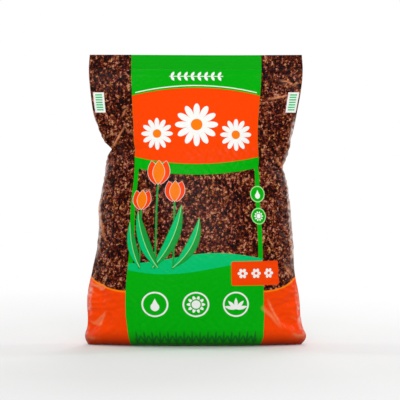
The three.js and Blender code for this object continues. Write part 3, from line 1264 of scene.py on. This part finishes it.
@dataclass
class LabelPrint:
    """The label that is printed over the peat: fields of colour with simple garden motifs.

    Lengths are in millimetres, from the foot of the film and from the label's own middle. A tulip is
    given by its stem, its top and its size as a share of the largest one's, and the petal by its foot
    from that top, its lean to the side, and its sideways step for each degree of lean.
    """

    picture: Picture
    place: PrintPlace
    centre: float = 1
    half_width: float = 111
    rail: float = 8
    header_foot: float = 446
    header_bow: float = 14
    header_line: float = 4
    half_line: float = 0.8
    line_inset: float = 6
    block_foot: float = 312
    block_bow: float = 12
    band: float = 18
    corner_top: float = 104
    corner_reach: float = 72
    corner_bow: float = 22
    corner_rim: float = 3
    garland_z: float = 466
    garland_reach: float = 46
    half_stalk: float = 0.6
    garland_pitch: float = 11.5
    far_hill: Hill = Hill(-40, 46, 9, 158)
    near_hill: Hill = Hill(30, 52, 10, 142)
    grass_foot: float = 14
    grass_line: float = 13.5
    grass_pitch: float = 13
    grass_inset: float = 10
    tulip_foot: float = 140
    half_stem: float = 1.5
    blade_rim: float = 0.8
    blade_rib: float = 0.5
    petal_rim: float = 0.6
    petal: Leaf = Leaf(0.35, -14, 13, 40, 21)
    daisy_eye: float = 0.27
    daisies: tuple[Motif, ...] = (Motif(-69, 364, 28), Motif(1, 380, 38), Motif(71, 362, 28))
    tulips: tuple[Motif, ...] = (Motif(-66, 292, 1), Motif(-36, 262, 0.85), Motif(-92, 248, 0.8))
    blades: tuple[Leaf, ...] = (
        Leaf(-70, 142, 66, 112, 19, -9),
        Leaf(-60, 142, 112, 100, 18, 8),
        Leaf(-38, 142, 62, 92, 17, -10),
        Leaf(-90, 142, 106, 78, 15, 6),
    )
    badges: tuple[Motif, ...] = (Motif(-64, 82, 21), Motif(0, 82, 21), Motif(64, 82, 21))
    badge_ring: float = 2.6
    rail_badges: tuple[Motif, ...] = (Motif(107, 262, 13.5), Motif(107, 226, 13.5))
    rail_badge_ring: float = 1.6
    tag: Motif = Motif(99, 133, 42)
    tag_flower_pitch: float = 23
    side_patch: Motif = Motif(169, 420, 9.5)
    stripe_pitch: float = 4.4
    half_stripe: float = 1.2

    def __post_init__(self) -> None:
        """Measures from the label's middle, and from its sides."""
        self.here = self.place.shifted(self.centre, 0)
        self.panel = abs(self.here.x) - self.half_width

    def lay(self) -> None:
        """Prints the label on the ground."""
        here, panel, fill = self.here, self.panel, self.picture.fill
        bow = (here.x / self.half_width) * (here.x / self.half_width)
        header = -here.z + self.header_foot - bow * self.header_bow
        block_foot = -here.z + self.block_foot + bow * self.block_bow
        self.lay_corners()
        fill(panel.both(block_foot - self.band), Ink.GREEN)
        fill(abs(panel + self.rail / 2) - self.rail / 2, Ink.GREEN)
        fill(panel.both(block_foot).both(-header), Ink.ORANGE)
        line = abs(header + self.header_line) - self.half_line
        fill(line.both(panel + self.line_inset), Ink.WHITE)
        self.lay_garland()
        self.lay_daisies()
        self.lay_hills()
        self.lay_grass()
        self.lay_tulips()
        self.lay_badges()
        self.lay_tag()
        self.lay_side_patches()

    def lay_corners(self) -> None:
        """Prints the orange lower corners, with a pale rim."""
        out = self.panel / self.corner_reach
        rise = self.here.z - out * out * self.corner_bow - self.corner_top
        self.picture.fill(rise, Ink.WARM_ORANGE)
        self.picture.fill(rise + self.corner_rim, Ink.ORANGE)

    def lay_garland(self) -> None:
        """Prints a white garland of small leaves on the header."""
        near = self.here.shifted(0, self.garland_z)
        reach = abs(near.x) - self.garland_reach
        self.picture.fill(reach.both(abs(near.z) - self.half_stalk), Ink.WHITE)
        repeat = PrintPlace(near.x.wrapped(self.garland_pitch), abs(near.z))
        outline, _ = Leaf(-3.5, 0.3, degrees=52, length=9.5, width=4.6, bend=-0.6).sides(repeat)
        self.picture.fill(outline.both(reach), Ink.WHITE)

    def lay_daisies(self) -> None:
        """Prints white daisies on the orange block."""
        for daisy in self.daisies:
            near = self.here.shifted(daisy.x, daisy.z)
            self.picture.fill(near.rosette(petals=12, radius=daisy.size, waist=0.42), Ink.WHITE)
            self.picture.fill(near.radius() - daisy.size * self.daisy_eye, Ink.WARM_ORANGE)

    def lay_hills(self) -> None:
        """Prints a pale hill behind a green one."""
        for hill, tint in ((self.far_hill, Ink.TEAL_GREEN), (self.near_hill, Ink.GREEN)):
            wave = ((self.here.x - hill.start) / hill.length).sine() * hill.wave
            self.picture.fill(self.panel.both(self.here.z - wave - hill.top), tint)

    def lay_grass(self) -> None:
        """Prints a row of deep green grass along the foot of the label."""
        inset = self.panel + self.grass_inset
        tuft = PrintPlace(self.here.x.wrapped(self.grass_pitch), self.here.z)
        for degrees, length in ((90, 24), (68, 19), (112, 19)):
            outline, _ = Leaf(0, self.grass_foot, degrees, length, width=3.4).sides(tuft)
            self.picture.fill(outline.both(inset), Ink.DEEP_GREEN)
        line = abs(self.here.z - self.grass_line) - self.half_line
        self.picture.fill(line.both(inset), Ink.DEEP_GREEN)

    def lay_tulips(self) -> None:
        """Prints tulips that grow from the hill up over the peat."""
        here, fill = self.here, self.picture.fill
        foot = self.tulip_foot
        for tulip in self.tulips:
            half = (tulip.z - foot) / 2
            fill(here.box(tulip.x, (tulip.z + foot) / 2, self.half_stem, half), Ink.LEAF_GREEN)
        for blade in self.blades:
            outline, across = blade.sides(here)
            fill(outline - self.blade_rim, Ink.DEEP_GREEN)
            fill(outline, Ink.LEAF_GREEN)
            fill(outline.both(-across), Ink.TEAL_GREEN)
            fill(outline.both(abs(across) - self.blade_rib), Ink.PALE_GREEN)
        for tulip in self.tulips:
            for side, tint in ((-1, Ink.ORANGE), (1, Ink.ORANGE), (0, Ink.WARM_ORANGE)):
                tilt, size = side * self.petal.degrees, tulip.size
                x, z = tulip.x + tilt * self.petal.x * size, tulip.z + self.petal.z * size
                petal = Leaf(x, z, 90 - tilt, self.petal.length * size, self.petal.width * size)
                outline, _ = petal.sides(here)
                fill(outline - self.petal_rim, Ink.WHITE)
                fill(outline, tint)

    def lay_badges(self) -> None:
        """Prints the round badges: two small ones on the right rail, and three large ones on the hill."""
        for badge in self.rail_badges:
            self.lay_badge(badge, self.rail_badge_ring, Ink.PALE_GREEN)
        for badge in self.badges:
            self.lay_badge(badge, self.badge_ring, Ink.WHITE)
        rail_x = self.rail_badges[0].x
        self.lay_drop(Motif(rail_x, 261, 6.5))
        self.lay_sun(Motif(rail_x, 226, 8))
        self.lay_drop(Motif(-64, 80.5, 9.5))
        self.lay_sun(Motif(0, 82, 14.5))
        self.lay_sprig(Motif(64, 82, 13.5))

    def lay_badge(self, badge: Motif, ring: float, tint: Ink) -> None:
        """Prints a green badge with a ring in another ink round it."""
        self.picture.fill(self.here.disc(badge.x, badge.z, badge.size), tint)
        self.picture.fill(self.here.disc(badge.x, badge.z, badge.size - ring), Ink.GREEN)

    def lay_drop(self, drop: Motif) -> None:
        """Prints a white drop of water.

        Args:
            drop: Its middle and its size.
        """
        size = drop.size
        near = self.here.shifted(drop.x, drop.z - size * 0.3)
        tip = (abs(near.x) * 0.9 + near.z * 0.45 - size * 0.66).both(-near.z + size * 0.2)
        self.picture.fill((near.radius() - size * 0.72).either(tip), Ink.WHITE)

    def lay_sun(self, sun: Motif) -> None:
        """Prints a white sun with short rays.

        Args:
            sun: Its middle and its size.
        """
        near = self.here.shifted(sun.x, sun.z)
        rays = near.rosette(petals=10, radius=sun.size, waist=0.35).both(-(near.radius() - sun.size * 0.62))
        self.picture.fill(rays.either(near.radius() - sun.size * 0.48), Ink.WHITE)

    def lay_sprig(self, sprig: Motif) -> None:
        """Prints a white sprig with five narrow leaves.

        Args:
            sprig: Its middle and its size.
        """
        size = sprig.size
        for degrees in (90, 48, 132, 14, 166):
            leaf = Leaf(sprig.x, sprig.z - size * 0.6, degrees, size * 1.4, size * 0.42)
            self.picture.fill(leaf.sides(self.here)[0], Ink.WHITE)

    def lay_tag(self) -> None:
        """Prints an orange tag with small flowers across the right edge of the label."""
        tag = self.tag
        outline = self.here.box(tag.x, tag.z, tag.size, half_height=20, corner=4)
        self.picture.fill(outline, Ink.ORANGE)
        for step in (-1, 0, 1):
            x = tag.x + step * self.tag_flower_pitch
            flower = self.here.shifted(x, tag.z).rosette(petals=6, radius=8.5, waist=0.5)
            self.picture.fill(flower, Ink.WHITE)
            self.picture.fill(self.here.disc(x, tag.z, radius=2.4), Ink.ORANGE)

    def lay_side_patches(self) -> None:
        """Prints white patches with plain green stripes, near both edges of the film."""
        patch = self.side_patch
        mirrored = PrintPlace(abs(self.here.x), self.here.z)
        self.picture.fill(mirrored.box(patch.x, patch.z, patch.size, half_height=18), Ink.WHITE)
        stripe = abs(mirrored.z.wrapped(self.stripe_pitch)) - self.half_stripe
        inner = mirrored.box(patch.x, patch.z, half_width=6, half_height=15)
        self.picture.fill(inner.both(stripe), Ink.TEAL_GREEN)


@dataclass(frozen=True)
class PaintedEdgeSheen:
    """A length of the film's edge painted pale as a sheen, in millimetres up the film."""

    side: int
    middle: float
    reach: float
    width: float
    strength: float


@dataclass(frozen=True)
class PrintedFilmFinish:
    """Glossy printed plastic film. Lengths are in millimetres on the film."""

    name: str = "printed_film"
    roughness: float = 0.28
    shine: float = 0.05
    half_width: float = 183
    gather_top: float = 62
    foot_gather: float = 0.0012
    peat_stretch: Triple = (1.12, 0.88, 0.3)
    # How strongly creases are painted pale: whitened ink, partly a painted highlight.
    crease_whitening_and_highlight_strength: float = 0.8
    sheen_patch_scale: float = 0.13
    # Patches that break up the painted sheen along the edges.
    sheen_patch_levels: Span = (0.42, 0.58)
    sheen_patch_depth: float = 0.90
    sheen_patch_least: float = 0.30
    # How the painted sheen fades along the edge and away from it.
    sheen_length: float = 0.4
    sheen_width: float = 0.55
    # The painted shade at the foot: where it starts and where it is darkest, in millimetres up the film,
    # and how dark it gets.
    painted_shade_below: Span = (40, 12)
    painted_shade_below_strength: float = 0.60
    crinkle_scale: float = 0.10
    crinkle_height: float = 1.1
    weld_foot: float = 478.5
    weld_edge: float = 0.5
    weld_depth: float = 0.4
    weld_calm: float = 0.7
    rib_pitch: float = 2.4
    rib_height: float = 0.2
    # Lengths of the edge with a painted sheen: side, middle, reach, width and strength.
    edge_sheens: tuple[PaintedEdgeSheen, ...] = (
        PaintedEdgeSheen(-1, 318, 34, 15, 0.7),
        PaintedEdgeSheen(-1, 250, 75, 9, 0.6),
        PaintedEdgeSheen(-1, 196, 48, 12, 0.55),
        PaintedEdgeSheen(-1, 92, 34, 12, 0.5),
        PaintedEdgeSheen(-1, 20, 24, 8, 0.4),
        PaintedEdgeSheen(-1, 380, 26, 4, 0.6),
        PaintedEdgeSheen(1, 350, 52, 9, 0.85),
        PaintedEdgeSheen(1, 306, 34, 19, 0.9),
        PaintedEdgeSheen(1, 270, 46, 12, 0.8),
        PaintedEdgeSheen(1, 200, 78, 12, 0.72),
        PaintedEdgeSheen(1, 62, 55, 10, 0.45),
    )

    def material(self) -> bpy.types.Material:
        """Builds the film's material.

        Returns:
            The material.
        """
        material, shader = new_material(self.name, self.roughness, self.shine)
        tree = material.node_tree
        film = add_node(tree, "Attribute", attribute_name="film").outputs["Vector"]
        scaled = add_node(tree, "VectorMath", {0: film, 1: (1 / MM,) * 3}, operation="MULTIPLY")
        parts = add_node(tree, "SeparateXYZ", {0: scaled.outputs[0]})
        across, up, inward = (Term(tree, socket) for socket in parts.outputs)
        side = -inward.reckon("SIGN")
        gathered = (-up + self.gather_top).both(0) * self.foot_gather + 1
        place = PrintPlace(across * side * gathered, up)
        stretched = (term * stretch for term, stretch in zip((across, up, inward), self.peat_stretch))
        flat = add_node(tree, "CombineXYZ", dict(enumerate(stretched))).outputs[0]
        picture = Picture(tree, PeatGround(tree, flat).colour())
        LabelPrint(picture, place).lay()
        self.lay_pale_creases_sheen_and_shade(picture, across, up, inward)
        tree.links.new(picture.colour, shader.inputs["Base Color"])
        tree.links.new(self.relief(tree, flat, up), shader.inputs["Normal"])
        return material

    def lay_pale_creases_sheen_and_shade(self, picture: Picture, across: Term, up: Term, inward: Term) -> None:
        """Paints pale creases, partly whitened ink and partly a highlight, then a sheen along the edges and
        shade at the foot.

        Args:
            picture: The print.
            across: The place across the wall.
            up: The place up the film.
            inward: The distance from the film's edge, negative on the front wall.
        """
        tree = picture.tree
        crease_and_highlight = Term(tree, add_node(tree, "Attribute", attribute_name="pale").outputs["Fac"])
        # Creases painted pale: whitened ink, partly a painted highlight.
        picture.lay(crease_and_highlight.reckon("MULTIPLY", self.crease_whitening_and_highlight_strength, clamp=True), Shade.WHITENED_CREASE_AND_HIGHLIGHT)
        sheen_place = add_node(tree, "CombineXYZ", {0: inward, 1: up}).outputs[0]
        patches = cloud(tree, sheen_place, self.sheen_patch_scale, detail=5)
        patchy = patches.ramp(*self.sheen_patch_levels) * self.sheen_patch_depth + self.sheen_patch_least
        # Painted sheen along the film's edges, broken into patches.
        for edge in self.edge_sheens:
            from_edge = across * -edge.side + self.half_width
            sheen = abs(up - edge.middle).ramp(edge.reach, edge.reach * self.sheen_length)
            sheen = sheen * from_edge.ramp(edge.width, edge.width * self.sheen_width)
            picture.lay(sheen * patchy * edge.strength, Shade.EDGE_SHEEN)
        # Painted shade: the print is darker towards the foot, where the film turns under.
        picture.lay(up.ramp(*self.painted_shade_below) * self.painted_shade_below_strength, Shade.PAINTED_SHADE_BELOW)

    def relief(self, tree: Tree, place: Socket, up: Term) -> Socket:
        """Makes the fine crinkles and the ribs of the weld.

        Args:
            tree: The material's node tree.
            place: The place on the film.
            up: The place up the film.

        Returns:
            The normal of the surface.
        """
        crinkle = cloud(tree, place, self.crinkle_scale, detail=5) * self.crinkle_height
        welded = (up - self.weld_foot).ramp(-self.weld_edge, self.weld_edge)
        ribs = (up * (2 * math.pi / self.rib_pitch)).sine() * welded * self.rib_height
        height = crinkle * (-welded * self.weld_calm + 1) + ribs - welded * self.weld_depth
        return add_node(tree, "Bump", {"Distance": MM, "Height": height}).outputs[0]


@dataclass(frozen=True)
class Softbox:
    """A soft lamp that faces the bag: its place and size in metres, and its power in watts."""

    name: str
    place: Triple
    size: Span
    power: float

    def build(self, aim: Vector) -> None:
        """Sets up the lamp.

        Args:
            aim: The place that it faces.
        """
        data = bpy.data.lights.new(self.name, "AREA")
        data.shape = "RECTANGLE"
        data.size, data.size_y = self.size
        data.energy = self.power
        lamp = placed(self.name, data)
        lamp.location = self.place
        lamp.rotation_euler = (aim - Vector(self.place)).to_track_quat("-Z", "Y").to_euler()


@dataclass
class Studio:
    """The floor, the lamps, the backdrop's colour and the camera. Lengths are in metres."""

    distance: float = 2.6
    aim: Vector = field(default_factory=lambda: Vector((0.0073, 0.0, 0.2395)))
    elevation: float = 1.0
    sensor: float = 36.0
    frame_width: float = 0.662
    floor_reach: float = 30.0
    floor_colour: float = 0.82
    floor_bounce: float = 0.45
    floor_roughness: float = 0.9
    floor_fades: Span = (0.45, 1.3)
    ambient: float = 0.38
    lamps: tuple[Softbox, ...] = (
        Softbox("front_softbox", (0.05, -2.6, 0.75), (1.6, 1.2), 37),
        Softbox("left_strip", (-1.7, 0.4, 0.9), (0.20, 1.2), 6),
        Softbox("right_strip", (1.8, 0.5, 0.8), (0.20, 1.2), 9),
        Softbox("top_softbox", (0.0, 0.1, 2.2), (1.4, 1.4), 16),
        Softbox("rear_softbox", (0.4, 2.2, 1.2), (1.4, 1.4), 24),
    )

    def camera(self) -> None:
        """Sets the camera at the photograph's angle."""
        data = bpy.data.cameras.new("camera")
        data.sensor_width = self.sensor
        data.lens = self.sensor * self.distance / self.frame_width
        camera = placed("camera", data)
        tilt = math.radians(self.elevation)
        offset = Vector((0.0, -math.cos(tilt), math.sin(tilt))) * self.distance
        camera.location = self.aim + offset
        camera.rotation_euler = (-offset).to_track_quat("-Z", "Y").to_euler()
        bpy.context.scene.camera = camera

    def seen(self, tree: Tree) -> Term:
        """Marks the rays that show the surroundings.

        Args:
            tree: The node tree of the floor or the world.

        Returns:
            1 for camera, glossy and transmission rays, and 0 for the others.
        """
        path = add_node(tree, "LightPath")
        kinds = ("Camera", "Glossy", "Transmission")
        camera, glossy, through = (Term(tree, path.outputs["Is %s Ray" % kind]) for kind in kinds)
        return camera.both(glossy).both(through)

    def floor(self) -> None:
        """Lays the pale floor, which fades into the white background."""
        mesh = bpy.data.meshes.new("floor")
        reach = self.floor_reach
        corners = [(-reach, -reach, 0), (reach, -reach, 0), (reach, reach, 0), (-reach, reach, 0)]
        mesh.from_pydata(corners, [], [(0, 1, 2, 3)])
        floor = placed("floor", mesh)
        material, shader = new_material("floor", self.floor_roughness, 0)
        tree = material.node_tree
        grey = self.seen(tree) * (self.floor_colour - self.floor_bounce) + self.floor_bounce
        tree.links.new(grey.socket, shader.inputs["Base Color"])
        white = add_node(tree, "Emission").outputs[0]
        spot = add_node(tree, "NewGeometry").outputs["Position"]
        length = add_node(tree, "VectorMath", {0: spot}, operation="LENGTH").outputs["Value"]
        share = Term(tree, length).ramp(*self.floor_fades) * self.seen(tree)
        faded = add_node(tree, "MixShader", {0: share, 1: shader.outputs[0], 2: white})
        tree.links.new(faded.outputs[0], tree.nodes["Material Output"].inputs["Surface"])
        mesh.materials.append(material)

    def surroundings(self) -> None:
        """Sets the world: white to look at, and a soft light on the bag."""
        world = bpy.data.worlds.new("studio")
        world.use_nodes = True
        tree = world.node_tree
        background = tree.nodes["Background"]
        background.inputs["Color"].default_value = (1, 1, 1, 1)
        strength = self.seen(tree) * (1.0 - self.ambient) + self.ambient
        tree.links.new(strength.socket, background.inputs["Strength"])
        bpy.context.scene.world = world

    def build(self) -> None:
        """Sets the floor, the world, the lamps and the camera."""
        self.floor()
        self.surroundings()
        for lamp in self.lamps:
            lamp.build(self.aim)
        self.camera()


def main() -> None:
    """Builds the bag and the studio."""
    logging.basicConfig(level=logging.INFO)
    bpy.context.scene.view_settings.view_transform = "Standard"
    solid = PackedSolid()
    film = FilmTube(solid).build()
    film.data.materials.append(PrintedFilmFinish().material())
    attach(film, "root")
    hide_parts("peat_bag")
    log.info("film: %d faces", len(film.data.polygons))
    Studio().build()


if __name__ == "__main__":
    main()
